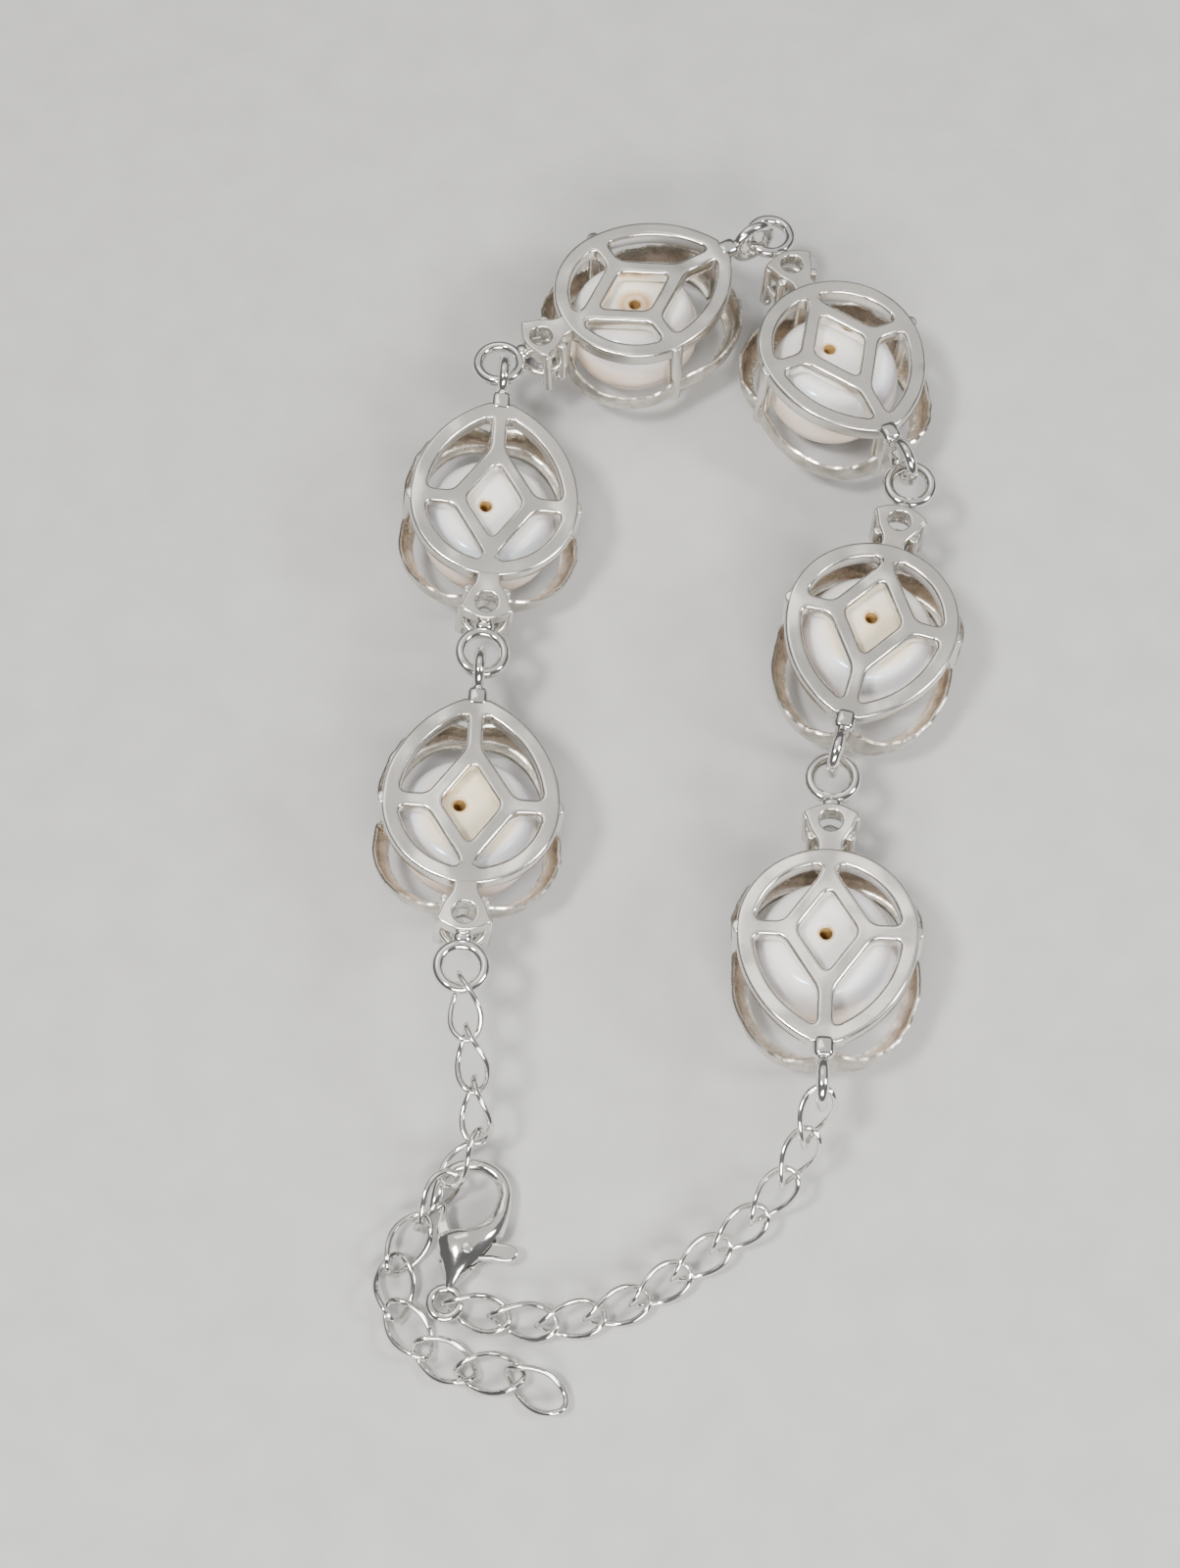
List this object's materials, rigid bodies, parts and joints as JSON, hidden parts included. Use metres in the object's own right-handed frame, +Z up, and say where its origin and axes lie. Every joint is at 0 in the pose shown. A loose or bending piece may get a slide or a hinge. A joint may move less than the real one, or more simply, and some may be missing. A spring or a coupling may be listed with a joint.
{
  "type": "pearl bracelet",
  "caption": "Bracelet of pierced silver stations with button pearls, petals and small collet stones, linked ring in ring, with an oval-link extender and a lobster clasp, lying face down.",
  "frame": {"origin": "middle of the footprint of the lying bracelet, on the surface it rests on", "axes": "+Z up from the surface, along the backs of the level stations; +Y along the length of the closed loop, away from the clasp; +X across the loop, from the extender's side to the other"},
  "size_m": [0.0386, 0.0818, 0.0091],
  "materials": {
    "silver": "rhodium-like plated silver, satin back plates and polished rings and links",
    "pearl": "white pearl nacre with an ivory drilled back",
    "stone": "clear faceted stone"
  },
  "bodies": {
    "root": {"setting_1": "silver", "setting_2": "silver", "setting_3": "silver", "setting_4": "silver", "setting_5": "silver", "setting_6": "silver", "pearl_1": "pearl", "pearl_2": "pearl", "pearl_3": "pearl", "pearl_4": "pearl", "pearl_5": "pearl", "pearl_6": "pearl", "stone_1": "stone", "stone_2": "stone", "stone_3": "stone", "stone_4": "stone", "stone_5": "stone", "stone_6": "stone", "extender_link_1": "silver", "extender_link_2": "silver", "extender_link_3": "silver", "extender_link_4": "silver", "extender_link_5": "silver", "extender_link_6": "silver", "extender_link_7": "silver", "extender_link_8": "silver", "extender_link_9": "silver", "extender_link_10": "silver", "extender_link_11": "silver", "clasp_chain_link_1": "silver", "clasp_chain_link_2": "silver", "clasp_chain_link_3": "silver", "clasp_chain_link_4": "silver", "clasp_chain_link_5": "silver", "clasp_chain_link_6": "silver", "clasp_chain_link_7": "silver", "clasp_chain_link_8": "silver", "clasp_chain_link_9": "silver", "clasp_chain_link_10": "silver", "clasp_body": "silver"},
    "lever": {"clasp_lever": "silver"}
  },
  "joints": [
    {"name": "lever_hinge", "type": "hinge", "parent": "root", "child": "lever", "pos_m": [-0.01275, -0.03106, 0.0013], "axis": [0, 0, -1], "range_deg": [0, 25], "stiffness_Nm_per_rad": 0.002, "springref_deg": -11.46}
  ]
}
